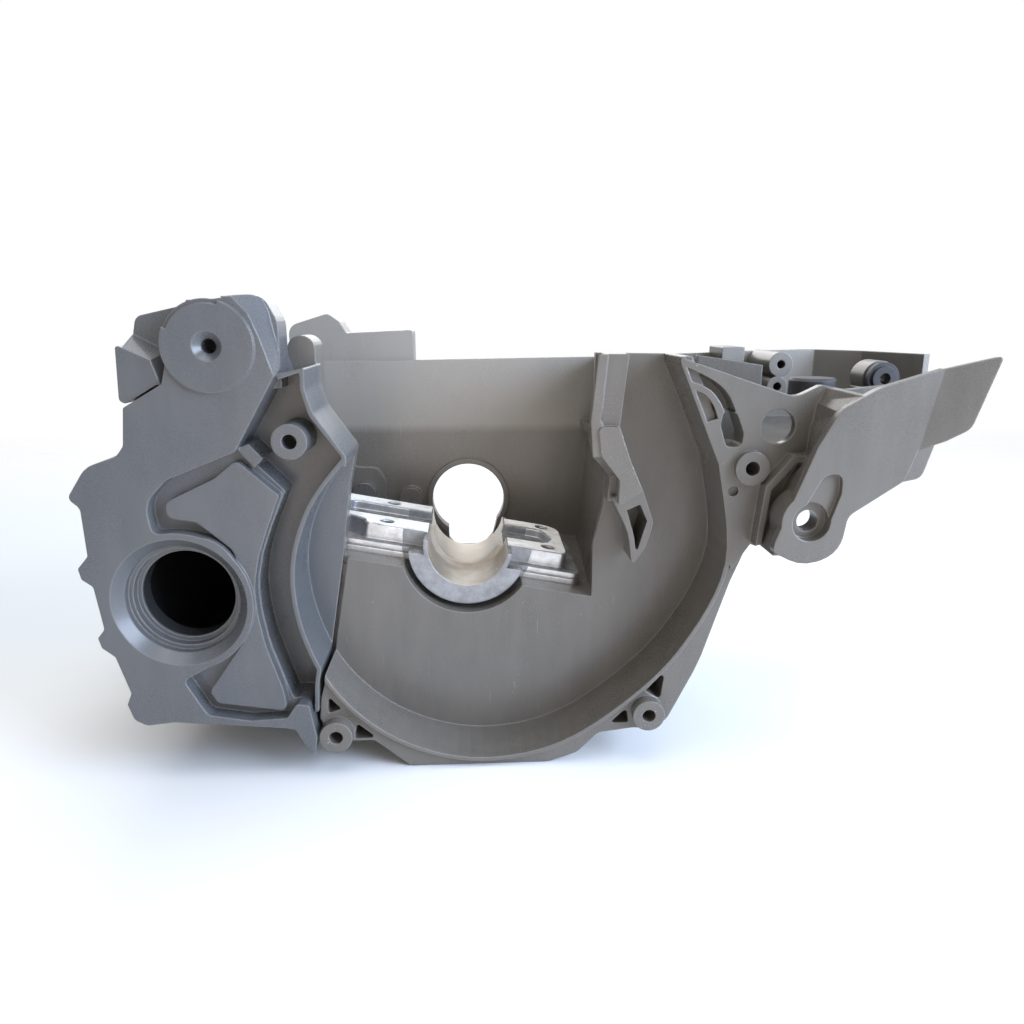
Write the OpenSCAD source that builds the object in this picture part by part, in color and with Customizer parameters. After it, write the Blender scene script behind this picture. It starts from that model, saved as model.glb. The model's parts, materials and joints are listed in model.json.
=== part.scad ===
// Chainsaw crankcase: moulded main housing with the fan well and engine bay,
// the welded front half of the oil tank, the cast engine pan and small fittings.
//
// Inside the modules the crank axis is Y, X points to the rear handle and Z up.
// The starter joint face is y = 0 and the clutch side lies towards +Y.
// at_datum() then puts the origin on the crank axis at the clutch side face.
// Outlines are written in the X, Z plane as [x, z, corner radius], always
// counter-clockwise as seen from the starter side.

/* [Case] */
// Starter joint face to clutch side face
case_depth = 105; // [98:1:116]
// Depth of the fan well behind the starter joint face
well_depth = 21; // [18:1:24]
// Wall thickness of the moulded skins
skin = 3; // [2.4:0.2:3.4]
// Thickness of the clutch side wall
far_wall = 4; // [3:0.5:6]
// Depth of the case below the crank axis
sump_depth = 72.6; // [71.6:0.2:76]
// Reach of the rear tray from the crank axis towards the rear handle
tray_reach = 179.2; // [174:0.2:186]
// Lean of the cylinder seat towards the rear handle in degrees
cylinder_tilt = 10.5; // [8:0.5:12]

/* [Fan well] */
// Radius of the volute where it starts, on the tank side
volute_start = 52; // [51:0.5:53]
// Radius of the volute where it runs out towards the rear handle
volute_end = 85; // [83.5:0.5:86]
// Width of the raised sealing lip round the volute
lip_width = 1.4; // [1:0.2:2]
// Radius of the four starter cover bosses
boss_r = 5.5; // [5:0.1:6]
// Radius of the screw holes in the starter cover bosses
boss_hole_r = 2.3; // [1.8:0.1:2.8]
// Depth of the screw holes in the starter cover bosses
boss_hole_depth = 14; // [10:1:18]

/* [Crank] */
// Radius of the crank bore in the clutch side wall
crank_bore_r = 16; // [14:0.5:17]
// Radius of the bearing seats in the engine pan
bearing_seat_r = 14.4; // [13.5:0.1:15.5]
// Wall of the engine pan below the bearing seats
seat_wall = 7; // [6:0.5:7.5]
// Free gap between the engine pan and the crank trough
trough_gap = 2.2; // [1.5:0.1:3]

/* [Engine pan] */
// Reach of the engine pan from the crank axis towards the rear handle
pan_half = 43; // [41:0.5:44]
// Reach of the engine pan from the crank axis towards the oil tank
pan_long = 53; // [50:0.5:54]
// Height of the engine pan from its flange to the split face
pan_height = 10; // [8:0.5:11]
// Thickness of the pan flange
pan_flange = 4.5; // [3.5:0.5:5.5]
// Half spacing of the cylinder screws across the crank
screw_half_x = 30.5; // [29:0.5:32]
// Spacing of the cylinder screws along the crank
screw_gap_y = 28; // [26:1:30]
// Radius of the cylinder screw holes
screw_r = 2.8; // [2.2:0.1:3.2]
// Height of the dried sealant on the split face
sealant_height = 0.5; // [0.3:0.1:0.8]

/* [Oil tank] */
// Radius of the filler opening
filler_r = 15; // [13:0.5:16]
// Radius of the bevelled filler mouth
filler_mouth_r = 21.3; // [20:0.1:22]
// Radius of the round handle pad
pad_r = 13.6; // [12:0.2:14]
// Radius of the screw hole in the handle pad
pad_hole_r = 2.2; // [1.8:0.1:2.8]

/* [Clutch side] */
// Spacing of the two guide bar studs
stud_gap = 27; // [24:1:29]
// Radius of the guide bar studs
stud_r = 4; // [3:0.5:4]
// Length of the studs beyond the bar pad
stud_reach = 18; // [14:1:24]

/* [Rear] */
// Radius of the screw hole in the rear lug
lug_hole_r = 3.4; // [2.6:0.1:4]
// Radius of the counterbore in the rear lug
lug_bore_r = 6; // [5:0.5:7]
// Radius of the rubber buffer on the tray
buffer_r = 8.2; // [7:0.2:9]

/* [Hidden] */
$fn = 72;
cut = 1;
span = 200;
joint_y = well_depth + skin;
far_y = case_depth - far_wall;
shell_front = -3;
land_y = -1.5;
groove_y = 2.5;
block_front = 5;
block_back = 16;
boss_front = -2.5;
recess_y = joint_y - 2 * skin - 5;
fin_front = -15;
flange_y = 1.8;
pan_front = joint_y;
pan_back = 76;
seat_lip_y = 45;
pan_boss_r = bearing_seat_r + seat_wall;
trough_r = pan_boss_r + trough_gap;
slit_half = 0.8;
filler_x = -91.8;
filler_z = -9.2;
pad_x = -75.2;
pad_z = 70.9;
stud_x = -46;
stud_z = 3;
bar_pad = 4;
stud_head = 5;
tray_z = 36;
// Rubber buffer and rubber ring keep their places on the tray
buffer_spot = [125.8, 38, tray_z + 11];
ring_x = tray_reach - 25.2;
ring_z = tray_z + 21.2;
ring_y = 44;
ring_hole_r = 2;
plastic = [0.30, 0.29, 0.28];
aluminium = [0.78, 0.79, 0.80];
rubber = [0.12, 0.12, 0.12];

// Starter cover bosses, one in the tank shell and three in the housing
shell_boss = [-53.8, 42.3];
boss_spots = [[-45.3, -58.6], [90.9, 32.5], [61.4, -53.6]];

// Outline helpers

function xz(p) = [p[0], p[1]];
function unit(v) = v / norm(v);
function cross2(u, v) = u[0] * v[1] - u[1] * v[0];

// Arc that rounds corner b of the path a, b, c
function corner_arc(a, b, c, r) =
    let (u = unit(a - b), v = unit(c - b), half = acos(u * v) / 2,
         reach = min(r / tan(half), 0.49 * norm(a - b), 0.49 * norm(c - b)),
         rr = reach * tan(half),
         m = b + unit(u + v) * rr / sin(half),
         s = b + u * reach - m, e = b + v * reach - m,
         a0 = atan2(s[1], s[0]),
         sweep = (atan2(e[1], e[0]) - a0 + 540) % 360 - 180,
         n = max(1, ceil((180 - 2 * half) / 15)))
    [for (i = [0 : n]) m + rr * [cos(a0 + sweep * i / n), sin(a0 + sweep * i / n)]];

// Closed outline with its corners rounded
function rounded(p) =
    let (n = len(p))
    [for (i = [0 : n - 1])
        let (a = xz(p[(i + n - 1) % n]), b = xz(p[i]), c = xz(p[(i + 1) % n]))
        each (p[i][2] > 0 && abs(cross2(unit(b - a), unit(c - b))) > 0.02
              ? corner_arc(a, b, c, p[i][2]) : [b])];

// Corner list moved inwards by d, with its radii following
function inset(p, d) =
    let (n = len(p))
    [for (i = [0 : n - 1])
        let (a = xz(p[(i + n - 1) % n]), b = xz(p[i]), c = xz(p[(i + 1) % n]),
             u = unit(b - a), v = unit(c - b),
             nu = [-u[1], u[0]], nv = [-v[1], v[0]],
             m = b + (nu + nv) * d / (1 + nu * nv),
             turn = cross2(u, v) > 0 ? 1 : -1)
        [m[0], m[1], p[i][2] > 0 ? max(0.2, p[i][2] - turn * d) : 0]];

// Smooth open curve through the given points, k steps between neighbours
function curve(p, k) =
    let (e = len(p) - 1)
    [for (i = [0 : e - 1], j = [0 : k - 1])
        let (t = j / k, a = p[max(i - 1, 0)], b = p[i], c = p[i + 1], d = p[min(i + 2, e)])
        0.5 * (2 * b + (c - a) * t + (2 * a - 5 * b + 4 * c - d) * t * t
               + (3 * b - a - 3 * c + d) * t * t * t),
     p[e]];

// Outline extruded along Y from y0 to y1
module slab(y0, y1) {
    translate([0, y1, 0]) rotate([90, 0, 0]) linear_extrude(y1 - y0) children();
}

module outline(p) {
    polygon(rounded(p));
}

// Round bar along Y
module rod(x, z, r, y0, y1) {
    slab(y0, y1) translate([x, z]) circle(r);
}

// Frame of the cylinder seat, with the split face at its z = 0
module leaning() {
    rotate([0, cylinder_tilt, 0]) children();
}

// Part of the model frame that carries the origin
module at_datum() {
    translate([0, -case_depth, 0]) children();
}

// Height of the pan ledge at x, on the leaning plane below the split face
function ledge(x) = (-pan_height - x * sin(cylinder_tilt)) / cos(cylinder_tilt);

// Fan well

volute_growth = [0, 0.04, 0.11, 0.18, 0.3, 0.415, 0.515, 0.576, 0.612, 0.773, 1, 1.07];
volute_keys = [for (i = [0 : 11])
    (volute_start + (volute_end - volute_start) * volute_growth[i])
    * [cos(135 + 22.5 * i), sin(135 + 22.5 * i)]];
volute = curve(volute_keys, 6);

function spiral(d) = [for (p = volute) p + unit(p) * d];

// Everything inside the volute, open at the top, grown outwards by d
module well_area(d = 0) {
    polygon(concat(spiral(d), [[66.6 + d, 65.5], [66.6 + d, 110], [-45, 110], [-38 - d, 60]]));
}

// Sides of the slit between the tank shell and the housing
function slit(d) = [[-42.4 + d, 0], [-48.1 + d, -31.3], [-49.4 + d, -40],
                    [-52.2 + d, -50], [-53.2 + d, -62], [-53.6 + d, -90]];

module left_of_slit(y0, y1) {
    slab(y0, y1) polygon(concat([[-90, -90], [-90, 40], [-35, 40], [-42.4 + slit_half, 6]],
                                slit(slit_half)));
}

// Oil tank shell, as runs of corners that its levels share

shell_foot = [[-52.6, -64.9, 0.8], [-51.4, -58, 2], [-53.4, -46, 1.5], [-57.5, -45.5, 1.5]];

// Edge of the front plate along the pockets, from the foot up
pocket_edge = [
    [-60.8, -50.5, 2], [-72.8, -51.1, 4], [-86.6, -48.6, 3], [-93.2, -36, 2],
    [-83, -30.5, 6], [-69.3, -17, 16], [-69.3, -1, 16], [-78, 12, 12],
    [-97.5, 14.2, 2], [-98.8, 23.5, 9], [-91.5, 31, 8], [-70, 39.5, 2]];

// Rounded ridge beside the fan well, from the foot up
ridge = [
    [-59.6, -46, 2], [-61.2, -40.5, 8], [-65.8, -25, 30], [-68, -10, 30],
    [-66.9, 2, 30], [-62.5, 14, 30], [-57.2, 26, 1], [-70, 39.5, 2]];

shell_top = [
    [-56.6, 62.2, 0.5], [-62.6, 80.2, 8], [-67, 84.6, 3], [-80, 84, 0], [-88, 66, 0],
    [-89.6, 60, 0.5]];

// Front edge of the plate on its left, with the four small teeth
plate_left = [
    [-101.6, 53, 1], [-103, 41.5, 3], [-105.5, 38.3, 4], [-115, 35.2, 8],
    [-121.6, 25.5, 2], [-118.2, 22.5, 3], [-118, 7, 1], [-121.5, 3, 1], [-120.8, -0.6, 1],
    [-117.6, -3, 2], [-116, -17.5, 2], [-118.4, -20.3, 1], [-117.6, -23.8, 1],
    [-113.8, -27, 2], [-110.3, -40, 2], [-112, -44, 1], [-110.4, -49.6, 3],
    [-106.6, -51.8, 3], [-97.5, -50.8, 4], [-61.2, -54.2, 1], [-58.3, -55, 1],
    [-55.2, -61.5, 1]];

shell_plate = concat(shell_foot, pocket_edge, shell_top, plate_left);
shell_body = concat(shell_foot, ridge, shell_top, plate_left);

// Raised land between the filler neck and the ridge
shell_land = [
    [-60.8, -48.6, 2], [-61.8, -40.5, 8], [-66.3, -25, 30], [-68.5, -10, 30],
    [-67.4, 2, 30], [-63, 14, 30], [-58.3, 25.4, 1], [-70.6, 36.6, 2], [-77.5, 31, 3],
    [-93.2, 23.6, 3], [-93, 18.6, 2.5], [-84.3, 17.2, 3], [-74, 8, 6], [-69, -8, 10],
    [-73, -23, 6], [-85.6, -40.8, 2], [-83.4, -45, 2]];

// Side of the tank towards the engine bay, from the bottom up, moved in by d
function bay_side(d) = [
    [-50.9 - d, -50, 1], [-50.2 - d, -40, 4], [-43.2 - d, 0, 30],
    [-40 - d, 23.5, 20], [-37 - d, 36.8, 3], [-46.5 - d, 50.6 - d / 2, 6],
    [-48.6 - d, 58, 6], [-48.4 - d, 64.4 - d, 0.5]];

// Top of the tank below the handle block
tank_top = [[-56.6, 62.2, 0.5], [-69, 60, 2]];

// Outer side of the tank at the weld, from the top down
tank_left = [
    [-101.4, 53, 1], [-103, 41.5, 3], [-105.5, 38.3, 4], [-115, 35.2, 8],
    [-120.8, 25.5, 3], [-117.6, 8, 20], [-115, -20, 20], [-109, -44, 10], [-104, -50.6, 4],
    [-61.2, -54, 2]];

shell_full = concat([[-55.2, -61, 2], [-53, -57, 1]], bay_side(0), tank_top, tank_left);

// Wall that stands round the outer side of the boss recess
recess_wall = concat(bay_side(0), [tank_top[0], tank_top[0] - [0, lip_width, 0]],
                     [for (i = [7 : -1 : 0]) bay_side(lip_width)[i]]);

mount_block = [
    [-56.4, 58, 0.5], [-56.4, 78, 6], [-60.5, 86, 5], [-75, 84.6, 30],
    [-98.2, 79.4, 3], [-100.4, 70, 2], [-101, 53, 1]];

// Outer faces that the hollow of the tank follows, each from its own depth
tank_cores = [
    [shell_front, concat([[-70, 39.5, 2]], tank_top, [
        [-101.6, 53, 1], [-103, 41.5, 3], [-105.5, 38.3, 4], [-115, 35.2, 6],
        [-120.8, 25.5, 3], [-117.8, 14, 2], [-97.5, 14.2, 2], [-98.8, 23.5, 7],
        [-91.5, 31, 8]])],
    [shell_front, [
        [-93.2, -36, 2], [-103, -29, 4], [-113.4, -28, 2], [-109.6, -44, 3],
        [-107.6, -50.4, 3], [-97.5, -50.8, 3], [-86.6, -48.6, 2]]],
    [land_y, [
        [-68.3, -4, 3], [-63, 14, 20], [-58.3, 25.4, 1], [-70.6, 36.6, 2], [-77.5, 31, 2],
        [-84, 27.6, 1], [-83, 16.6, 1], [-74, 8, 3]]],
    [land_y, [
        [-61.4, -47.6, 1], [-62, -40.5, 4], [-66.3, -25, 10], [-73, -22, 2],
        [-85.6, -40.8, 2], [-83.4, -45, 2]]],
    [groove_y, concat([[-60.5, -48, 2], [-61.2, -40.5, 8], [-65.8, -25, 30], [-68, -10, 30],
        [-66.9, 2, 30], [-62.5, 14, 30], [-57.2, 26, 1], [-70, 39.5, 2]], tank_top,
        tank_left)],
    [recess_y, concat([[-53, -52, 2]], [for (i = [1 : 7]) bay_side(0)[i]], tank_top,
        tank_left)]];

// The handle block above the tank is open at the back
block_cores = [
    [shell_front, [
        [-58.6, 58.6, 1], [-62.6, 80.2, 4], [-67, 84.6, 2], [-80, 84, 1], [-88, 66, 2],
        [-89.6, 52.6, 1], [-69, 57, 2]]],
    [block_front, [
        [-56.4, 59, 1], [-56.4, 78, 6], [-60.5, 86, 5], [-75, 84.6, 30], [-98.2, 79.4, 3],
        [-100.4, 70, 2], [-101, 50.2, 1], [-69, 57, 2]]]];

tab_panel = [
    [-101.2, 54, 1.5], [-90.6, 60.3, 0.8], [-92.8, 66.8, 0.8], [-102.2, 71.4, 0.8],
    [-103, 55, 1.5]];

module level(p, y) {
    slab(y, joint_y) outline(p);
}

// Wall between two lines of corners, one row after the other from the bottom up:
// [x near, y near, z near, x far, z far, thickness in skins], the far line at y = far
module ruled_wall(rows, far) {
    n = len(rows);
    polyhedron(
        points = [for (b = rows) each [
            [b[0], b[1], b[2]], [b[0] + skin * b[5], b[1], b[2]],
            [b[3] + skin * b[5], far, b[4]], [b[3], far, b[4]]]],
        faces = concat([[0, 1, 2, 3]], [[4 * n - 1, 4 * n - 2, 4 * n - 3, 4 * n - 4]],
            [for (i = [0 : n - 2], k = [0 : 3]) let (a = 4 * i, m = (k + 1) % 4)
                each [[a + k, a + 4 + k, a + 4 + m], [a + k, a + 4 + m, a + m]]]));
}

// Slanted steps from the plate and the fixing tab back to the handle block
plate_step = [
    [-56.9 - skin, shell_front, 62.8, -56 - skin, 63.2, 1],
    [-59.8 - skin, shell_front, 72.4, -57.2 - skin, 73.6, 1],
    [-62.8 - skin, shell_front, 80, -58.8 - skin, 82.2, 1],
    [-67.2 - skin, shell_front, 85, -62.2 - skin, 89, 1]];
tab_step = [
    [-90.4 - skin, -1.8, 59.6, -87.2 - skin, 59.6, 1],
    [-92.6 - skin, -1.8, 66.9, -89.6 - skin, 69.6, 1],
    [-103.4 - skin, -1.8, 72, -102.4 - skin, 76.4, 1]];

module tank_shell_solid() {
    level(shell_plate, shell_front);
    level(shell_land, land_y);
    level(shell_body, groove_y);
    level(shell_full, recess_y);
    level(recess_wall, 0);
    slab(block_front, block_back) outline(mount_block);
    level(tab_panel, -1.8);
    rod(filler_x, filler_z, filler_mouth_r + 2, shell_front, joint_y);
    rod(pad_x, pad_z, pad_r, shell_front - 1, block_back);
    rod(shell_boss[0], shell_boss[1], boss_r, boss_front, joint_y);
    intersection() {
        union() {
            ruled_wall(plate_step, block_front + 1);
            ruled_wall(tab_step, block_front + 1);
        }
        slab(shell_front, block_back) outline(mount_block);
    }
    // rib block at the upper end of the ridge
    slab(0, joint_y) outline([
        [-70.4, 40, 0], [-65.6, 33.8, 0], [-62.6, 36.8, 0.4], [-66.8, 41.4, 0.4]]);
    // sealing lip along the volute
    slab(0, joint_y) intersection() {
        difference() {
            well_area(lip_width);
            well_area();
        }
        outline(shell_full);
    }
}

// Hollow of the tank, with the neck, bosses and fan well left standing in it
module tank_hollow() {
    difference() {
        for (c = concat(tank_cores, block_cores)) {
            slab(c[0] + skin, joint_y + cut) polygon(rounded(inset(c[1], skin)));
        }
        slab(shell_front, joint_y + 2 * cut) well_area(lip_width + skin - 1);
        rod(filler_x, filler_z, filler_mouth_r + skin, shell_front, 4);
        rod(filler_x, filler_z, filler_r + 6, shell_front, 13);
        rod(pad_x, pad_z, pad_hole_r + skin, shell_front, joint_y + 2 * cut);
        rod(shell_boss[0], shell_boss[1], boss_r, boss_front, joint_y + 2 * cut);
    }
}

module oil_tank_shell() {
    color(plastic) difference() {
        tank_shell_solid();
        // fan well
        slab(shell_front - cut, well_depth) intersection() {
            well_area();
            translate([-70, -63]) square([40, 97]);
        }
        tank_hollow();
        // bevelled filler mouth, seat and opening
        translate([filler_x, shell_front - 0.01, filler_z]) rotate([-90, 0, 0]) {
            cylinder(h = 3.5, r1 = filler_mouth_r, r2 = filler_r + 3.2);
            cylinder(h = 6, r = filler_r + 3.2);
            cylinder(h = 9, r = filler_r + 1.6);
            cylinder(h = 40, r = filler_r);
        }
        // rebate round the upper left of the handle pad
        slab(shell_front - 1 - cut, shell_front) difference() {
            intersection() {
                translate([pad_x, pad_z]) circle(pad_r + 1);
                polygon([[pad_x, pad_z], [pad_x + 6, pad_z + 18.5], [pad_x - 20, pad_z + 18.5],
                         [pad_x - 20, pad_z + 9]]);
            }
            translate([pad_x, pad_z]) circle(pad_r - 1.2);
        }
        // countersunk screw hole in the handle pad
        translate([pad_x, shell_front - 1.01, pad_z]) rotate([-90, 0, 0]) {
            cylinder(h = 2, r1 = pad_hole_r + 2.2, r2 = pad_hole_r);
            cylinder(h = 18, r = pad_hole_r);
        }
        // screw hole in the cover boss
        rod(shell_boss[0], shell_boss[1], boss_hole_r, boss_front - cut,
            boss_front + boss_hole_depth);
    }
}

// Main housing

fan_outline = [
    [-51, -53.5, 1], [-47, -62.5, 2], [-40, -62.3, 0], [-33, -62.3, 3],
    [-21, -sump_depth, 4], [27.5, -sump_depth, 8], [37.5, -69.2, 6], [44.5, -61.8, 5],
    [57, -60.2, 4], [64.5, -61, 5], [69, -56.8, 6], [78.8, -36, 40], [87.6, -7, 10],
    [92.9, 6.8, 2], [90.2, 24, 10], [70.6, 67.4, 1], [43.4, 67.8, 0],
    [43.4, 45, 0], [48.2, 27, 0], [47.4, 15, 0], [44.2, 0, 0], [-44, 16, 0]];

belly = [
    [-44.6, -51, 4], [-31.5, -62.3, 3], [-19.5, -sump_depth, 4], [26, -sump_depth, 8], [36, -68, 6],
    [43, -60.6, 5], [62.5, -57.5, 6], [76, -36, 20], [84, -9, 20], [86, 8, 6],
    [86, tray_z - 0.6, 2], [-44.6, tray_z - 0.6, 1]];

// Cylinder seat height: everything above it is the open engine bay
module above_shelf(y0, y1, lift = 0) {
    leaning() translate([-span / 2, y0, -pan_height + lift]) cube([span, y1 - y0, span]);
}

module fan_housing() {
    difference() {
        union() {
            slab(flange_y, joint_y) outline(fan_outline);
            slab(0, joint_y) intersection() {
                difference() {
                    well_area(lip_width);
                    well_area();
                }
                outline(fan_outline);
            }
            for (b = boss_spots) {
                rod(b[0], b[1], boss_r, boss_front, joint_y);
            }
        }
        slab(-20, well_depth) well_area();
        difference() {
            left_of_slit(-20, joint_y + cut);
            rod(boss_spots[0][0], boss_spots[0][1], boss_r, -30, joint_y + 2 * cut);
        }
        // triangular pockets beside the lower bosses
        slab(-cut, joint_y - skin) {
            outline([[60.6, -46.4, 0.6], [66, -49.6, 1], [67.4, -38.4, 1]]);
            outline([[48.6, -58.2, 0.6], [55.2, -58.2, 0.8], [54.6, -52.4, 1]]);
            outline([[-48.2, -51.6, 0.5], [-43.6, -50.2, 0.6], [-47.8, -45.4, 0.6]]);
            outline([[-39.8, -61.6, 0.6], [-32.2, -61.4, 0.8], [-38.8, -55.6, 0.8]]);
        }
        rod(0, 0, trough_r, well_depth - cut, joint_y + cut);
        intersection() {
            above_shelf(well_depth - cut, joint_y + cut);
            slab(well_depth - cut, joint_y + cut) translate([-60, -40]) square([104.2, 70]);
        }
    }
}

// Panels and duct in front of the bay wall
module near_panels() {
    slab(8, joint_y) outline([[43.6, 42, 0], [49.6, 42, 0], [52.2, 67.9, 0.5], [45, 67.9, 0.5]]);
    slab(4.4, joint_y) outline([
        [49.6, 19, 0.5], [57.6, 24, 0.5], [53, 34.5, 0.5], [49.3, 45, 0.5],
        [43.4, 45.2, 1], [42.4, 43.8, 0.5], [43.6, 35.6, 0.5], [49.8, 27.7, 0.5]]);
    slab(8, joint_y) difference() {
        outline([
            [55.6, -2.9, 0.8], [59.9, 3.4, 6], [61.6, 9.2, 0.5], [62.3, 12.6, 0.8],
            [57.8, 25, 0.5], [48, 21, 0.5], [54, 9, 20]]);
        outline([
            [56.9, 1.2, 0.5], [59.1, 9.2, 1], [60.2, 13, 0.5], [57.6, 18.7, 0.4],
            [53.1, 16.8, 0.4], [55.9, 8, 15]]);
    }
}

// Wall on the handle side of the engine bay, from the shelf up
bay_rows = [
    [44, well_depth, -18.5, 49.1, -20.8, 1], [48.8, well_depth, 16.9, 52.7, 16.9, 1],
    [47.1, 12, 19.1, 52.9, 19.1, 1], [47.9, 12, 27.7, 53.8, 27.7, 1.2],
    [40.8, 5, 35.5, 54.6, 34.8, 2.2], [39.9, 5, 47.1, 56, 47.1, 1.1],
    [41.9, 5, 67.9, 57.5, 62.6, 1]];

module bay_wall() {
    ruled_wall(bay_rows, far_y + cut);
}

// Seat for the engine pan with the round crank trough
module shelf() {
    difference() {
        union() {
            leaning() translate([0, 0, -pan_height - skin]) linear_extrude(skin)
                polygon([[-54.5, joint_y - cut], [-55.6, joint_y + skin], [-64.2, far_y + cut],
                         [52, far_y + cut], [48.5, joint_y - cut]]);
            rod(0, 0, trough_r + skin, joint_y - cut, far_y + cut);
        }
        rod(0, 0, trough_r, well_depth - cut, far_y);
        above_shelf(well_depth - cut, far_y + 2 * cut);
        left_of_slit(well_depth - cut, joint_y);
    }
}

// Tank half of the housing behind the shell
tank_half = concat([[-53, -54, 1]], bay_side(0), tank_top, tank_left);

module tank_plan(d) {
    translate([0, 0, -span / 2]) linear_extrude(span)
        polygon([[-140, joint_y - cut], [-30, joint_y - cut], [-30, joint_y + skin - d / 2],
                 [-55 - d, joint_y + skin - d / 2], [-64 - d, case_depth + cut],
                 [-140, case_depth + cut]]);
}

module tank_body() {
    difference() {
        intersection() {
            slab(joint_y, case_depth) outline(tank_half);
            tank_plan(0);
        }
        intersection() {
            slab(joint_y - 2 * cut, far_y) polygon(rounded(inset(tank_half, skin)));
            translate([0, 0, -span / 2]) linear_extrude(span)
                polygon([[-140, joint_y - 2 * cut], [-56, joint_y - 2 * cut],
                         [-56 - skin, joint_y + 8], [-64 - skin, far_y + cut], [-140, far_y + cut]]);
        }
    }
    // floor of the slit between the tank and the fan housing
    slab(joint_y, joint_y + skin) difference() {
        polygon(concat(slit(-5), [for (i = [5 : -1 : 0]) slit(5)[i]]));
        translate([-60, -100]) square([30, 44]);
        translate([-60, ledge(-44) - 1]) square([30, 30]);
    }
    // solid boss round the front guide bar stud
    rod(stud_x - stud_gap, stud_z, stud_r + 4.5, far_y - 10, far_y + cut);
    // fixing tab behind the shell
    slab(joint_y, joint_y + 14)
        outline([[-58.4, 54, 0], [-49.4, 50, 0], [-49.4, 73.4, 4.4], [-58.4, 73.4, 4.4]]);
}

// Clutch side wall with the crank bore
wall_outline = [
    [-30, 0.6 - sump_depth, 4], [30, 0.6 - sump_depth, 4], [40, -30, 6], [60, -26, 4], [64, tray_z - skin, 2],
    [150, tray_z - skin, 2], [150, 65.4, 0], [123, 64.8, 0], [57.5, 62.6, 0],
    [-64, 60.6, 1], [-66, -52, 3], [-48, -57, 3]];

module clutch_wall() {
    difference() {
        union() {
            slab(far_y, case_depth) outline(wall_outline);
            rod(0, 0, crank_bore_r + 2.2, far_y - 2, case_depth);
            rod(-25.5, 0.8, 5, far_y - 5, case_depth);
            // raised outline round the rear stud
            slab(far_y - 1.2, far_y + cut) outline([
                [-62, -20, 2], [-38, -20, 2], [-36.6, 8, 3], [-40, 14.4, 4], [-49, 14.8, 4],
                [-53, 17.4, 3], [-62, 19, 1]]);
            bar_side();
        }
        // upper part of the bay face leans back
        translate([-63.9, far_y, 31.6]) rotate([0, -2, 0]) rotate([2.4, 0, 0])
            translate([0, -10, 0]) cube([118.4, 10, 60]);
        // windows below the shelf
        slab(far_y - cut, case_depth + cut) {
            outline([[-40, -52, 5], [-12, -62, 5], [-12, -33, 8], [-44, -24, 5]]);
            outline([[-6, -62, 5], [22, -62, 5], [26, -38, 8], [-6, -33, 5]]);
        }
    }
}

// Guide bar pad and hand guard lug on the clutch side
module bar_side() {
    slab(case_depth, case_depth + bar_pad) outline([
        [-98, -13, 6], [-36, -13, 6], [-36, 19, 6], [-98, 19, 6]]);
    difference() {
        slab(case_depth - cut, case_depth + 13) outline([
            [-76, 40, 4], [-23, 50, 4], [-22.9, 73.9, 1.5], [-51.4, 72.6, 1], [-54.4, 77.6, 4],
            [-59, 80.8, 3], [-75.8, 75.6, 5]]);
        slab(case_depth + skin, case_depth + 14) outline([
            [-73, 44, 3], [-26, 53, 3], [-26, 70.8, 1], [-53.6, 69.5, 1], [-57, 76, 3],
            [-72.8, 72.6, 3]]);
    }
}

// Skin that closes the case below the shelf
module belly_skin() {
    difference() {
        slab(joint_y - cut, case_depth) outline(belly);
        slab(joint_y - 2 * cut, case_depth + cut) polygon(rounded(inset(belly, skin)));
        intersection() {
            above_shelf(joint_y - 2 * cut, case_depth + cut, -skin);
            slab(joint_y - 2 * cut, case_depth + cut)
                polygon([[-60, -60], [47, -60], [51, 60], [-60, 60]]);
        }
    }
    // stiffening ribs under the shelf
    intersection() {
        slab(joint_y - cut, case_depth) outline(belly);
        difference() {
            for (x = [-22, 24]) {
                translate([x - skin / 2, joint_y - cut, -80]) cube([skin, 60, 70]);
            }
            rod(0, 0, trough_r + 0.5, joint_y - 2 * cut, case_depth);
            above_shelf(joint_y - 2 * cut, case_depth + cut, -0.5);
        }
    }
}

// Rear part

web_outline = [
    [87, -2, 0], [92.9, 6.8, 0.5], [95, 6, 0], [109, 33, 0], [117, 45, 0], [125, 56.2, 0.5],
    [111.8, 58.6, 3], [104, 54.8, 6], [66.4, 67.2, 0.5], [80, 30, 0], [84, 10, 0]];

fin_outline = [
    [95, 12, 0], [94.4, 8.6, 2], [104, 3.8, 12], [115.6, 7.5, 11], [117.2, 19.8, 4],
    [133.6, 30.8, 3], [136.8, 40.4, 1], [141, 41.6, 0], [141.6, 64.4, 0], [122.6, 58.8, 8],
    [111.6, 52.6, 8], [105.6, 41.4, 6]];

fin_tip = [
    [136.9, 40.2, 0], [144.1, 43.1, 2], [150.6, 46.8, 5], [157, 68.2, 0.8], [141.4, 64.3, 0]];

// Block behind the web that the two curved grooves are sunk into
groove_block = [
    [78, 37, 3], [86.6, 35.6, 3], [90, 42, 3], [88.4, 52, 4], [84, 58, 4], [74, 63.6, 2],
    [66.6, 66.6, 0], [66.6, 50, 0], [78, 44, 0]];
groove_floor = 7;

// Strip between two smooth lines, the second one listed backwards
module groove(a, b) {
    polygon(concat(curve(a, 4), curve(b, 4)));
}

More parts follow.
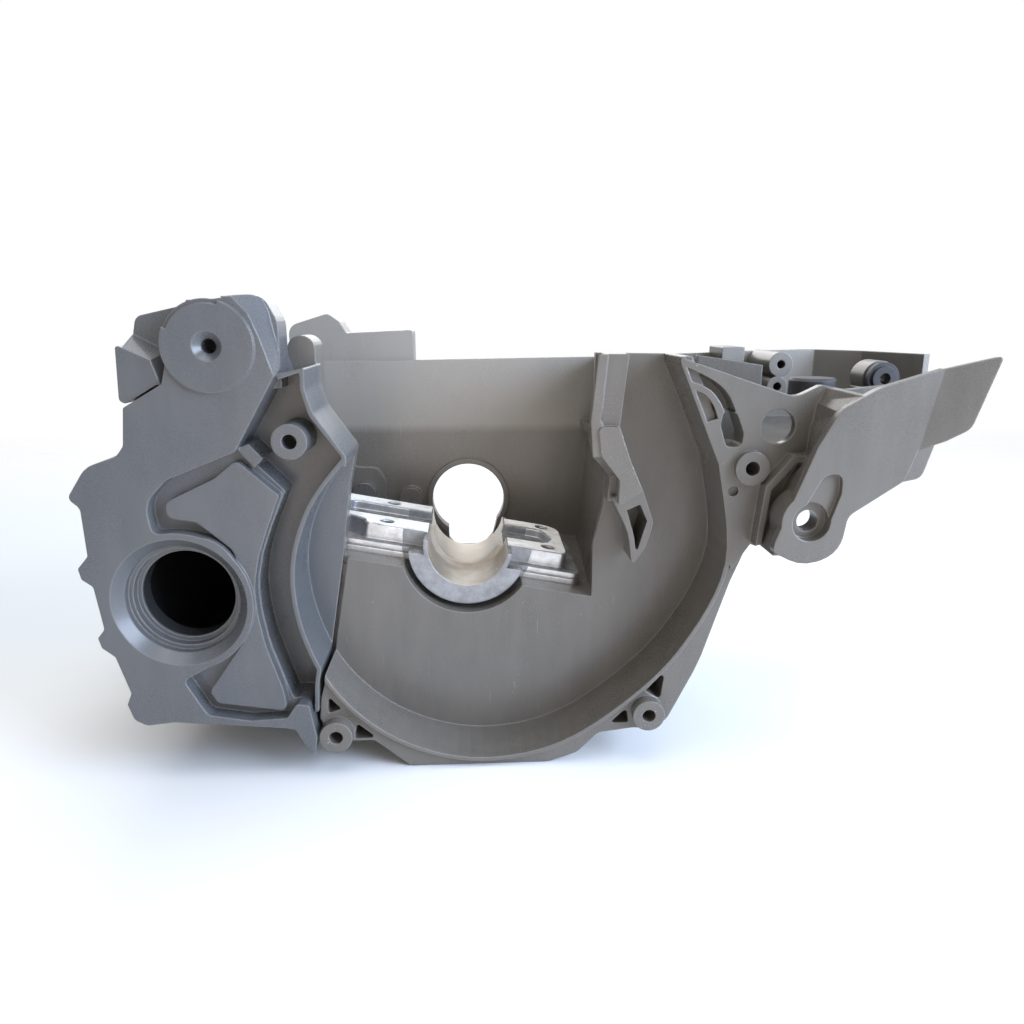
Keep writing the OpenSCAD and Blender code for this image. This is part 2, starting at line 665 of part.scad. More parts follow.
module right_web() {
    difference() {
        union() {
            slab(0, skin) outline(web_outline);
            slab(1, groove_floor + 2) outline(groove_block);
        }
        slab(-cut, groove_floor + 3) {
            well_area(lip_width / 2);
            outline([[82.6, 39.2, 1.6], [87.6, 39, 2], [88, 43.6, 2], [85.4, 50, 2],
                     [81, 50.6, 1.6], [80.4, 46, 2]]);
        }
        slab(-cut, skin + cut) {
            translate([99, 45.6]) circle(5.5);
            translate([86, 24.7]) circle(1.7);
        }
        // curved grooves behind the volute exit
        slab(-cut, groove_floor) {
            groove([[68.2, 64.4], [74.4, 61.6], [79.2, 58.8], [82.6, 55.2], [85, 50.4]],
                   [[81.8, 49.2], [80, 53], [76.4, 57.2], [70.2, 60]]);
            groove([[71, 57.2], [74.6, 55.8], [77.6, 52.6], [79.4, 48.2]],
                   [[75.2, 47], [73, 52]]);
        }
    }
}

// Curved wall that leads from the web out to the fin
fin_rows = [
    [94.9, fin_front + 1, 7.2, 95.2, 7.2, 0.7], [97.2, fin_front + 1, 15.8, 98.2, 16, 0.7],
    [101.5, fin_front + 1, 27.7, 103.4, 27.5, 0.7],
    [105, fin_front + 1, 37.5, 108.9, 36.8, 0.7],
    [108.6, fin_front + 1, 45.4, 109.6, 46, 0.7],
    [112.2, fin_front + 1, 51.3, 110.6, 53.4, 0.8],
    [118.2, fin_front + 1, 56.4, 112.4, 58, 0.9]];

module fin() {
    bend = [141.5 - 136.8, 0, 63.8 - 40];
    difference() {
        union() {
            slab(fin_front, fin_front + skin) outline(fin_outline);
            translate([136.8, fin_front, 40]) rotate(a = -14, v = bend)
                translate([-136.8, -fin_front, -40])
                slab(fin_front, fin_front + skin) outline(fin_tip);
            rod(105.9, 17.9, lug_bore_r + 3.4, fin_front, fin_front + 10);
            ruled_wall(fin_rows, 2);
            // pocketed gusset between the web and the fin
            slab(-5, skin) polygon([
                [92.7, 7.6], [94.6, 8.2], [96.4, 26], [104.1, 34.8], [108.6, 35], [108.6, 36.8],
                [102.8, 37], [94.5, 27.2]]);
        }
        rod(105.9, 17.9, lug_bore_r, fin_front - cut, fin_front + 4);
        rod(106.2, 17.6, lug_hole_r, fin_front - cut, fin_front + 24);
        slab(fin_front - cut, fin_front + 2) outline([
            [111.4, 17, 1], [114.4, 27, 3], [114.2, 33.4, 3.5], [108.4, 32.6, 3.5],
            [103.6, 23, 1]]);
    }
}

// Tray towards the rear handle
module tray() {
    translate([0, 0, tray_z - skin]) linear_extrude(skin)
        polygon([[47, joint_y - cut], [84, joint_y - cut], [84, 1], [118, 1], [124, 20], [162, 20],
                 [tray_reach - 1.6, 54.8], [tray_reach - 10.8, 86], [154.4, case_depth - 1],
                 [55.6, case_depth - 1]]);
    // outer wall in three straight runs
    translate([0, 0, tray_z - skin]) linear_extrude(65.4 - tray_z + skin)
        polygon([[148, case_depth], [156, case_depth], [tray_reach - 8.4, 87],
                 [tray_reach, 55.5], [tray_reach - 2.8, 54.5], [tray_reach - 11.6, 85.2],
                 [154, far_y], [148, far_y]]);
    // inner wall with the rounded lower corner
    slab(20, 20 + skin) outline([
        [118, 24, 0], [152, 22.4, 3], [160.4, 24, 4], [164.2, 38, 0.5], [158, 58, 3],
        [118, 54, 0]]);
    // web that carries the fin from the tray
    translate([117, fin_front + 1, tray_z - skin]) cube([skin, 22 - fin_front, 21]);
    // stiff bar, post, eyelets and boss
    slab(30, 30 + skin) polygon([[80.7, 34], [103.9, 34], [103.9, 63], [80.7, 66.5]]);
    slab(84, far_y + cut) outline([[107, 58, 0], [116.4, 58, 0], [116.4, 67.2, 0.5], [107, 67.2, 0.5]]);
    difference() {
        union() {
            rod(128.8, 60.5, 5, 75, far_y + cut);
            rod(127.9, 51.5, 4.2, 75, far_y + cut);
        }
        rod(128.8, 60.5, 1.7, 74, 90);
        rod(127.9, 51.5, 1.7, 74, 90);
    }
    slab(25, 25 + skin) polygon([[134.9, 34], [144.3, 34], [144.3, 54.9], [134.9, 56]]);
    difference() {
        union() {
            rod(ring_x, ring_z, 6.4, ring_y, ring_y + 10);
            translate([ring_x - 5, ring_y, tray_z - cut]) cube([10, 10, 20]);
        }
        rod(ring_x, ring_z, ring_hole_r, ring_y - cut, ring_y + 11);
    }
    translate([buffer_spot[0], buffer_spot[1], tray_z - cut])
        cylinder(h = buffer_spot[2] - tray_z + cut, r = buffer_r - 2.4);
}

module main_housing() {
    color(plastic) difference() {
        union() {
            fan_housing();
            near_panels();
            bay_wall();
            shelf();
            tank_body();
            clutch_wall();
            belly_skin();
            right_web();
            fin();
            tray();
        }
        // crank bore with the notch below it
        rod(0, 0, crank_bore_r, far_y - 3, case_depth + cut);
        slab(far_y - 3, case_depth + cut) outline([
            [-9, -8, 0], [-9, -19, 3], [-6, -22.6, 3], [6.5, -22.6, 4], [11, -17.5, 6],
            [13, -9, 0], [12, -6, 0]]);
        // screw holes
        for (b = boss_spots) {
            rod(b[0], b[1], boss_hole_r, boss_front - cut, boss_front + boss_hole_depth);
        }
        for (i = [0, 1]) {
            rod(stud_x - i * stud_gap, stud_z, stud_r + 0.6, far_y - stud_head,
                case_depth + bar_pad + cut);
            rod(stud_x - i * stud_gap, stud_z, stud_r + 1.2, far_y - stud_head - cut, far_y);
        }
    }
}

// Engine pan

pan_plan = [
    [-pan_long, 30, 3], [-47, 30, 6], [-42, 30, 4], [pan_half, 30, 3], [pan_half, 74, 5],
    [-pan_long, 74, 5]];
rim_plan = [
    [-38, 34, 2], [pan_half - 5.5, 34, 3], [pan_half - 5, 72, 8], [-pan_long + 1, 72, 4],
    [-pan_long + 1, 40.5, 1.5], [-43.5, 41, 5], [-38.5, 38, 3]];

// Flat plate in the leaning frame, outline given in X, Y
module pan_slab(z0, z1) {
    leaning() translate([0, 0, z0]) linear_extrude(z1 - z0) children();
}

module bearing_seats() {
    rod(0, 0, bearing_seat_r, pan_front - cut, seat_lip_y);
    rod(0, 0, bearing_seat_r - 1.8, seat_lip_y - cut, pan_back + cut);
    rod(0, 0, bearing_seat_r, seat_lip_y + 3, pan_back + cut);
}

module cylinder_screws() {
    leaning() for (x = [-screw_half_x, screw_half_x], y = [0, 1]) {
        translate([x, 39 + y * screw_gap_y, -pan_height - cut])
            cylinder(h = pan_height + 2 * cut, r = screw_r);
    }
}

module engine_pan() {
    color(aluminium) difference() {
        union() {
            pan_slab(-pan_height, -pan_height + pan_flange) outline(pan_plan);
            pan_slab(-pan_height, 0) outline(rim_plan);
            intersection() {
                rod(0, 0, pan_boss_r, pan_front, pan_back);
                leaning() translate([-60, 0, -60]) cube([120, 120, 60 - pan_height + pan_flange]);
            }
            intersection() {
                rod(0, 0, bearing_seat_r + 1.6, pan_front, pan_back);
                leaning() translate([-60, 0, -60]) cube([120, 120, 60]);
            }
        }
        bearing_seats();
        cylinder_screws();
        // parting line round the flange
        pan_slab(-pan_height + pan_flange / 2, -pan_height + pan_flange / 2 + 0.4) difference() {
            outline(inset(pan_plan, -2));
            outline(inset(pan_plan, 0.5));
        }
        // pockets between the rim and the bearing seats
        pan_slab(-3, cut) {
            outline([[-pan_long + 6, 46, 3], [-8, 46, 0], [-8, 63, 0], [-pan_long + 6, 63, 3]]);
            outline([[8, 44, 0], [pan_half - 13, 44, 4], [pan_half - 10, 52, 4],
                     [pan_half - 13, 63, 4], [8, 63, 0]]);
        }
    }
}

module sealant_residue() {
    color([0.93, 0.93, 0.91]) difference() {
        pan_slab(0, sealant_height) difference() {
            polygon(rounded(inset(rim_plan, 0.5)));
            outline([[-pan_long + 5.4, 45.4, 3], [-8, 45.4, 0], [8, 43.4, 0],
                     [pan_half - 12.6, 43.4, 4], [pan_half - 9.4, 52, 4],
                     [pan_half - 12.6, 63.6, 4], [-pan_long + 5.4, 63.6, 3]]);
        }
        rod(0, 0, bearing_seat_r + 0.6, pan_front - cut, pan_back + cut);
        cylinder_screws();
    }
}

// Small fittings

module bar_studs() {
    color([0.7, 0.7, 0.72]) for (i = [0, 1]) {
        translate([stud_x - i * stud_gap, far_y - stud_head, stud_z]) rotate([-90, 0, 0]) {
            cylinder(h = stud_head, r = stud_r + 1.2);
            cylinder(h = stud_head + far_wall + bar_pad, r = stud_r + 0.6);
            cylinder(h = stud_head + far_wall + bar_pad + stud_reach - 1, r = stud_r);
            translate([0, 0, stud_head + far_wall + bar_pad + stud_reach - 1])
                cylinder(h = 1, r1 = stud_r, r2 = stud_r - 0.8);
        }
    }
}

module rubber_buffer() {
    color(rubber) translate(buffer_spot) {
        cylinder(h = 10, r = buffer_r);
        translate([0, 0, 10]) cylinder(h = 1, r1 = buffer_r, r2 = buffer_r - 0.8);
    }
}

module rubber_grommet() {
    color(rubber) difference() {
        union() {
            rod(ring_x, ring_z, 6, ring_y - 3, ring_y);
            rod(ring_x, ring_z, 4.6, ring_y - 4, ring_y);
        }
        rod(ring_x, ring_z, ring_hole_r, ring_y - 5, ring_y + cut);
    }
}

at_datum() main_housing();
at_datum() oil_tank_shell();
at_datum() engine_pan();
at_datum() sealant_residue();
at_datum() bar_studs();
at_datum() rubber_buffer();
at_datum() rubber_grommet();
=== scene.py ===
"""Chainsaw crankcase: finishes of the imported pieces, the studio round them and the camera.

Lengths are in metres, and values whose names end in _mm are in millimetres. The frame is that
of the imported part: +Z up, +Y along the crank axis towards the clutch side, +X towards the rear
handle, and the origin on the crank axis.
"""

from __future__ import annotations

import json
import logging
import math
from collections.abc import Callable
from dataclasses import dataclass
from enum import Enum
from functools import partial

import bpy
from mathutils import Matrix, Vector

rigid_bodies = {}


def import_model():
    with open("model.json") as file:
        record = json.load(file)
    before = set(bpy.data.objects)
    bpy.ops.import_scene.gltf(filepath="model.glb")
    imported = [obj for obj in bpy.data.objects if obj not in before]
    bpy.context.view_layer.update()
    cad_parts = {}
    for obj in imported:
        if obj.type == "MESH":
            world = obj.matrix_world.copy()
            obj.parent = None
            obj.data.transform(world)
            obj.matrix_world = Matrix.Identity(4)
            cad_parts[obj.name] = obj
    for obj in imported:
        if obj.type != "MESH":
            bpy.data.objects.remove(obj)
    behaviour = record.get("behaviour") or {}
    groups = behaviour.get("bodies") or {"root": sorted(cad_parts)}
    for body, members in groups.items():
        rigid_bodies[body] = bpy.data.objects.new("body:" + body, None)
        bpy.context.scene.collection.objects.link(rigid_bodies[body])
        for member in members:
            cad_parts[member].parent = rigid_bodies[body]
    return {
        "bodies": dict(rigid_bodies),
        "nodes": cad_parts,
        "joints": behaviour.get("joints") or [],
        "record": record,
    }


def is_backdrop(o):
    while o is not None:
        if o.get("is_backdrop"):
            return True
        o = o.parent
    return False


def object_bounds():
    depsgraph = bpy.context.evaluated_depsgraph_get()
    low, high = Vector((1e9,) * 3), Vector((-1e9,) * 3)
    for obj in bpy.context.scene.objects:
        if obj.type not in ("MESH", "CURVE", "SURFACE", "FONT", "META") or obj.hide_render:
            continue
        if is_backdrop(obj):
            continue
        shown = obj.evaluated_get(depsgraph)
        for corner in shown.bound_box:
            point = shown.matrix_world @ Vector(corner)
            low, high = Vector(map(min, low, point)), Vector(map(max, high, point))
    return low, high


log = logging.getLogger("crankcase")

MM = 0.001
CASE_DEPTH_MM = 105.0

Socket = bpy.types.NodeSocket
Triple = tuple[float, float, float]


class Groove(Enum):
    """The shape of the grooves round an axis, by Blender's name of the wave."""

    TURNED = "SIN"
    THREAD = "TRI"


def linear(code: str) -> tuple[float, float, float, float]:
    """Turn an sRGB hex colour into linear light.

    Args:
        code: six hex digits, such as "6E6A66".

    Returns:
        Linear red, green, blue and an alpha of one.
    """
    values = [int(code[i:i + 2], 16) / 255 for i in (0, 2, 4)]
    out = [v / 12.92 if v <= 0.04045 else ((v + 0.055) / 1.055) ** 2.4 for v in values]
    return out[0], out[1], out[2], 1.0


def noise_scale(size_mm: float) -> float:
    """Give the scale at which a blotch of noise is so many millimetres wide."""
    return 1.0 / (size_mm * MM)


def band_scale(pitch_mm: float) -> float:
    """Give the scale at which Blender's wave, 2 pi / 20 long at scale one, has a pitch."""
    return 2 * math.pi / (20 * pitch_mm * MM)


def add_node(tree: bpy.types.NodeTree, kind: str, out: int | str = 0,
             **values: object) -> Socket | None:
    """Add one shader node with its settings, constants and links.

    Args:
        tree: the node tree that takes the node.
        kind: Blender's name of the node type, without its ShaderNode.
        out: number or name of the output to give back.
        values: a name in small letters is a setting of the node itself. Any other name is an
            input, with _ for a space, and i with a number is the input of that number. An
            input takes a constant or a link from an output.

    Returns:
        The chosen output, or None where the node has no output.
    """
    node = tree.nodes.new("ShaderNode" + kind)
    for key, value in values.items():
        numbered = key[0] == "i" and key[1:].isdigit()
        if key.islower() and not numbered:
            setattr(node, key, value)
            continue
        socket = node.inputs[int(key[1:]) if numbered else key.replace("_", " ")]
        if isinstance(value, Socket):
            tree.links.new(value, socket)
        else:
            socket.default_value = value
    return node.outputs[out] if node.outputs else None


@dataclass(frozen=True)
class Finish:
    """A finish that is built as one procedural material.

    Attributes:
        name: name of the material.
    """

    name: str

    def surface(self, add: Callable[..., Socket], place: Socket) -> Socket:
        """Build the nodes of the surface.

        Args:
            add: add_node, held to the material's tree.
            place: coordinates of the object.

        Returns:
            The output of the surface shader.
        """
        raise NotImplementedError

    def build(self) -> bpy.types.Material:
        """Build the material.

        Returns:
            The finished material.
        """
        material = bpy.data.materials.new(self.name)
        material.use_nodes = True
        material.node_tree.nodes.clear()
        add = partial(add_node, material.node_tree)
        shader = self.surface(add, add("TexCoord", "Object"))
        add("OutputMaterial", Surface=shader)
        return material


@dataclass(frozen=True)
class Plane:
    """A plane that bounds a space.

    Attributes:
        point_mm: a point of the plane.
        inward: the direction from the plane into the space.
    """

    point_mm: Triple
    inward: Triple


@dataclass(frozen=True)
class MouldedPolyamide(Finish):
    """Glass-filled polyamide, injection moulded: dark grey with a satin sheen.

    The glass at the surface breaks up the gloss in fine streaks, and the edges are painted paler
    as a painted highlight. A pale layer on the far walls that face forward is partly dust and
    partly painted light, and the walls that face into the tank are painted nearly black, partly
    for the lubricant on them and partly as painted shade. The grain, the specks and the scratches
    are drawn coarser than real ones, so that they show.

    Attributes:
        tank: planes round the space that holds the lubricant.
        tone: colour of the plastic.
        streak: colour of the glass streaks.
        cloud: colour of the handled patches.
        edge_highlight: colour of the painted highlight on the edges.
        oil_and_shade: colour of the walls inside the tank, dark with lubricant and painted shade.
        dust_and_light: colour of the pale layer on the far walls, partly dust and partly painted
            light.
        speck: colour of the dust specks.
        scratch: colour of the fine scratches.
        gloss: roughness of the plastic.
        oil_gloss: roughness of the walls inside the tank, wet with lubricant.
        edge_mm: radius of the softened edges.
        edge_highlight_share: how far the edges turn to the colour of their painted highlight.
        dust_and_light_share: how far the pale layer of dust and painted light covers the plastic.
        low_dust_and_light: share of that layer that lies below the bend.
        bend_mm: height of the bend in the bay's back wall.
        dust_and_light_reach_mm: places along Y where that layer begins and where it is full.
        fan_middle_mm: place of the fan well's middle along X.
        marks_reach_mm: distances from there at which the marks begin and are in full.
        streak_mm: width of the glass streaks.
        cloud_mm: width of the handled patches.
        grain_mm: width of the grain.
        patch_mm: width of the patches of marks.
        grit_mm: width of the specks and scratches.
    """

    tank: tuple[Plane, ...]
    tone: str = "63605B"
    streak: str = "706C66"
    cloud: str = "827E77"
    edge_highlight: str = "A5A19A"
    oil_and_shade: str = "38383A"
    dust_and_light: str = "B3AFA8"
    speck: str = "CFCCC4"
    scratch: str = "A8A49C"
    gloss: float = 0.27
    oil_gloss: float = 0.24
    edge_mm: float = 0.7
    edge_highlight_share: float = 0.45
    dust_and_light_share: float = 0.6
    low_dust_and_light: float = 0.25
    bend_mm: float = 31.6
    dust_and_light_reach_mm: tuple[float, float] = (-60.0, -14.0)
    fan_middle_mm: float = 12.0
    marks_reach_mm: tuple[float, float] = (76.0, 62.0)
    streak_mm: float = 5.0
    cloud_mm: float = 38.0
    grain_mm: float = 0.35
    patch_mm: float = 26.0
    grit_mm: float = 0.8

    def dust_and_painted_light(self, add: Callable[..., Socket], place: Socket, colour: Socket) -> Socket:
        """Paint a pale layer on what faces forward, thicker far inside and above the bend: partly
        dust, partly painted light that the far walls catch above the bend.

        Args:
            add: add_node, held to the material's tree.
            place: coordinates of the object.
            colour: the clean colour.

        Returns:
            The colour with dust and painted light.
        """
        facing = add("SeparateXYZ", "Y", Vector=add("NewGeometry", "Normal"))
        front = add("MapRange", Value=facing, From_Min=-0.2, From_Max=-0.8)
        depth = add("SeparateXYZ", "Y", Vector=place)
        begins, full = self.dust_and_light_reach_mm
        far = add("MapRange", Value=depth, From_Min=begins * MM, From_Max=full * MM)
        height = add("SeparateXYZ", "Z", Vector=place)
        high = add("MapRange", Value=height, From_Min=(self.bend_mm - 2) * MM,
                   From_Max=(self.bend_mm + 2) * MM, To_Min=self.low_dust_and_light)
        # forward-facing walls far inside are painted paler, most above the bend: dust and painted
        # light
        dust_and_light = add("Math", operation="MULTIPLY", i0=front, i1=far)
        dust_and_light = add("Math", operation="MULTIPLY", i0=dust_and_light, i1=high)
        dust_and_light = add("Math", operation="MULTIPLY", i0=dust_and_light, i1=self.dust_and_light_share)
        return add("Mix", 2, data_type="RGBA", i0=dust_and_light, i6=colour, i7=linear(self.dust_and_light))

    def marks(self, add: Callable[..., Socket], place: Socket, colour: Socket) -> Socket:
        """Scatter dust specks and fine slanting scratches in patches across the fan well.

        Args:
            add: add_node, held to the material's tree.
            place: coordinates of the object.
            colour: the colour under them.

        Returns:
            The marked colour.
        """
        across = add("SeparateXYZ", "X", Vector=place)
        across = add("Math", operation="SUBTRACT", i0=across, i1=self.fan_middle_mm * MM)
        across = add("Math", operation="ABSOLUTE", i0=across)
        begins, full = self.marks_reach_mm
        inner = add("MapRange", Value=across, From_Min=begins * MM, From_Max=full * MM)
        patches = add("TexNoise", Vector=place, Scale=noise_scale(self.patch_mm), Detail=2.0,
                      Roughness=0.55)
        patches = add("MapRange", Value=patches, From_Min=0.48, From_Max=0.66)
        patches = add("Math", operation="MULTIPLY", i0=inner, i1=patches)
        slant = add("Mapping", Vector=place, Rotation=(0.0, 0.5, 0.0), Scale=(1.0, 1.0, 0.05))
        grit = noise_scale(self.grit_mm)
        specks = add("TexNoise", Vector=place, Scale=grit, Detail=1.0, Roughness=0.55)
        lines = add("TexNoise", Vector=slant, Scale=grit, Detail=0.0, Roughness=0.5)
        for pattern, limit, share, pale in ((specks, 0.755, 0.8, self.speck),
                                            (lines, 0.78, 0.35, self.scratch)):
            mask = add("Math", operation="GREATER_THAN", i0=pattern, i1=limit)
            mask = add("Math", operation="MULTIPLY", i0=mask, i1=patches)
            mask = add("Math", operation="MULTIPLY", i0=mask, i1=share)
            colour = add("Mix", 2, data_type="RGBA", i0=mask, i6=colour, i7=linear(pale))
        return colour

    def inside_tank(self, add: Callable[..., Socket], place: Socket) -> Socket:
        """Find the space between the tank's planes.

        Args:
            add: add_node, held to the material's tree.
            place: coordinates of the object.

        Returns:
            A mask that is 1 inside the tank.
        """
        mask = 1.0
        for plane in self.tank:
            reach = Vector(plane.point_mm).dot(Vector(plane.inward)) * MM
            along = add("VectorMath", "Value", operation="DOT_PRODUCT", i0=place, i1=plane.inward)
            past = add("Math", operation="GREATER_THAN", i0=along, i1=reach)
            mask = add("Math", operation="MULTIPLY", i0=past, i1=mask)
        return mask

    def surface(self, add: Callable[..., Socket], place: Socket) -> Socket:
        """Build the nodes of the surface.

        Args:
            add: add_node, held to the material's tree.
            place: coordinates of the object.

        Returns:
            The output of the surface shader.
        """
        flow = add("Mapping", Vector=place, Scale=(1, 1, 0.18))
        streaks = add("TexNoise", Vector=flow, Scale=noise_scale(self.streak_mm), Detail=4.0,
                      Roughness=0.6)
        cloud = add("TexNoise", Vector=place, Scale=noise_scale(self.cloud_mm), Detail=2.0,
                    Roughness=0.55)
        grain = add("TexNoise", Vector=place, Scale=noise_scale(self.grain_mm), Detail=2.0,
                    Roughness=0.7)
        share = add("MapRange", Value=streaks, From_Min=0.35, From_Max=0.7, To_Max=0.55)
        colour = add("Mix", 2, data_type="RGBA", i0=share, i6=linear(self.tone),
                     i7=linear(self.streak))
        share = add("MapRange", Value=cloud, From_Min=0.4, From_Max=0.75, To_Max=0.127)
        colour = add("Mix", 2, data_type="RGBA", i0=share, i6=colour, i7=linear(self.cloud))
        # the pale layer is partly dust and partly painted light; the specks and scratches are real
        # marks
        colour = self.marks(add, place, self.dust_and_painted_light(add, place, colour))
        # edges are painted paler below: a painted highlight along them
        rounded = add("Bevel", samples=4, Radius=self.edge_mm * MM)
        flat = add("NewGeometry", "Normal")
        same = add("VectorMath", "Value", operation="DOT_PRODUCT", i0=rounded, i1=flat)
        edges = add("MapRange", Value=same, From_Min=0.99, From_Max=0.86)
        edges = add("Math", operation="MULTIPLY", i0=edges, i1=self.edge_highlight_share)
        colour = add("Mix", 2, data_type="RGBA", i0=edges, i6=colour, i7=linear(self.edge_highlight))
        broad = add("MapRange", Value=cloud, From_Min=0.3, From_Max=0.7,
                    To_Min=self.gloss - 0.04, To_Max=self.gloss + 0.07)
        fine = add("MapRange", Value=grain, From_Min=0.3, From_Max=0.7, To_Min=-0.03, To_Max=0.04)
        rough = add("Math", operation="ADD", i0=broad, i1=fine)
        # walls inside the tank are painted near black: lubricant on them and painted shade
        oily_and_shaded = self.inside_tank(add, place)
        colour = add("Mix", 2, data_type="RGBA", i0=oily_and_shaded, i6=colour, i7=linear(self.oil_and_shade))
        rough = add("Mix", i0=oily_and_shaded, i2=rough, i3=self.oil_gloss)
        normal = add("Bump", Height=streaks, Distance=0.02 * MM, Strength=0.25, Normal=rounded)
        normal = add("Bump", Height=grain, Distance=0.01 * MM, Strength=0.35, Normal=normal)
        return add("BsdfPrincipled", Base_Color=colour, Roughness=rough, Normal=normal, IOR=1.57)


@dataclass(frozen=True)
class DieCastAluminium(Finish):
    """Pressure die-cast aluminium: pale satin skin, with turned bearing seats that show rings.

    The casting round the seats is blasted to an even grey, and what faces up is painted darker as
    painted shade against the glare from above. The rings of the seats are drawn further apart
    than real ones, so that they show.

    Attributes:
        seat_mm: radius of the turned seats.
        face_mm: radius out to which the front is blasted.
        skin: colour of the cast skin.
        stain: colour of its stains.
        blasted: pale and dark colour of the blasted front.
        shaded_top: pale and dark colour of the painted shade on what faces up.
        turned: dull and bright colour of the seats.
        cloud_mm: width of the stains.
        mottle_mm: width of the mottles of the blasted front.
        pit_mm: width of the pits in the skin.
        ring_mm: distance from ring to ring in the seats.
    """

    seat_mm: float
    face_mm: float
    skin: str = "D8DBE0"
    stain: str = "8B867E"
    blasted: tuple[str, str] = ("A3A6AB", "8D8F92")
    shaded_top: tuple[str, str] = ("9A9B9E", "67645F")
    turned: tuple[str, str] = ("B5ADA2", "CBC8C3")
    cloud_mm: float = 7.0
    mottle_mm: float = 5.0
    pit_mm: float = 0.6
    ring_mm: float = 0.7

    def surface(self, add: Callable[..., Socket], place: Socket) -> Socket:
        """Build the nodes of the surface.

        Args:
            add: add_node, held to the material's tree.
            place: coordinates of the object.

        Returns:
            The output of the surface shader.
        """
        side = add("VectorMath", operation="MULTIPLY", i0=place, i1=(1.0, 0.0, 1.0))
        radius = add("VectorMath", "Value", operation="LENGTH", i0=side)
        seat = add("Math", operation="LESS_THAN", i0=radius, i1=self.seat_mm * MM)
        around = add("Math", operation="LESS_THAN", i0=radius, i1=self.face_mm * MM)
        normal = add("NewGeometry", "Normal")
        facing = add("SeparateXYZ", "Y", Vector=normal)
        front = add("MapRange", Value=facing, From_Min=-0.3, From_Max=-0.7)
        front = add("Math", operation="MULTIPLY", i0=front, i1=around)
        rising = add("SeparateXYZ", "Z", Vector=normal)
        upper = add("MapRange", Value=rising, From_Min=0.6, From_Max=0.85)
        cloud = add("TexNoise", Vector=place, Scale=noise_scale(self.cloud_mm), Detail=5.0,
                    Roughness=0.7)
        mottle = add("TexNoise", Vector=place, Scale=noise_scale(self.mottle_mm), Detail=4.0,
                     Roughness=0.7)
        pits = add("TexNoise", Vector=place, Scale=noise_scale(self.pit_mm), Detail=3.0,
                   Roughness=0.7)
        stains = add("MapRange", Value=cloud, From_Min=0.42, From_Max=0.72, To_Max=0.6)
        colour = add("Mix", 2, data_type="RGBA", i0=stains, i6=linear(self.skin),
                     i7=linear(self.stain))
        # what faces up is painted darker: a painted shade against the glare from above
        for where, noise, low, high, pair in ((front, mottle, 0.4, 0.65, self.blasted),
                                              (upper, cloud, 0.4, 0.65, self.shaded_top),
                                              (seat, cloud, 0.35, 0.75, self.turned)):
            share = add("MapRange", Value=noise, From_Min=low, From_Max=high)
            tone = add("Mix", 2, data_type="RGBA", i0=share, i6=linear(pair[0]), i7=linear(pair[1]))
            colour = add("Mix", 2, data_type="RGBA", i0=where, i6=colour, i7=tone)
        broad = add("MapRange", Value=cloud, From_Min=0.3, From_Max=0.7, To_Min=0.30, To_Max=0.46)
        fine = add("MapRange", Value=pits, From_Min=0.3, From_Max=0.7, To_Min=-0.05, To_Max=0.05)
        rough = add("Math", operation="ADD", i0=broad, i1=fine)
        duller = add("Math", operation="MAXIMUM", i0=front, i1=upper)
        duller = add("Math", operation="MULTIPLY", i0=duller, i1=0.2)
        rough = add("Math", operation="ADD", i0=rough, i1=duller)
        rings = add("TexWave", 1, wave_type="BANDS", bands_direction="Y",
                    wave_profile=Groove.TURNED.value, Vector=place,
                    Scale=band_scale(self.ring_mm), Distortion=0.4)
        rings = add("Math", operation="MULTIPLY", i0=rings, i1=seat)
        normal = add("Bevel", samples=4, Radius=0.8 * MM)
        normal = add("Bump", Height=pits, Distance=0.05 * MM, Strength=0.3, Normal=normal)
        normal = add("Bump", Height=rings, Distance=0.01 * MM, Strength=0.3, Normal=normal)
        return add("BsdfPrincipled", Base_Color=colour, Metallic=0.92, Roughness=rough,
                   Normal=normal)


@dataclass(frozen=True)
class DriedSealant(Finish):
    """Dried white silicone sealant: lumpy and matt, and greyer where it was pulled away.

    Attributes:
        lump_mm: width of the lumps.
        patch_mm: width of the grey patches.
    """

    lump_mm: float = 2.2
    patch_mm: float = 6.0

    def surface(self, add: Callable[..., Socket], place: Socket) -> Socket:
        """Build the nodes of the surface.

        Args:
            add: add_node, held to the material's tree.
            place: coordinates of the object.

        Returns:
            The output of the surface shader.
        """
        lumps = add("TexNoise", Vector=place, Scale=noise_scale(self.lump_mm), Detail=4.0,
                    Roughness=0.6)
        patches = add("TexNoise", Vector=place, Scale=noise_scale(self.patch_mm), Detail=3.0,
                      Roughness=0.6)
        share = add("MapRange", Value=patches, From_Min=0.5, From_Max=0.66)
        colour = add("Mix", 2, data_type="RGBA", i0=share, i6=linear("FFFFFD"), i7=linear("E4E3DE"))
        rough = add("MapRange", Value=lumps, From_Min=0.3, From_Max=0.7, To_Min=0.45, To_Max=0.7)
        normal = add("Bevel", samples=4, Radius=0.3 * MM)
        normal = add("Bump", Height=lumps, Distance=0.5 * MM, Strength=0.8, Normal=normal)
        return add("BsdfPrincipled", Base_Color=colour, Roughness=rough, Normal=normal, IOR=1.41,
                   Subsurface_Weight=0.08, Subsurface_Scale=0.8 * MM)


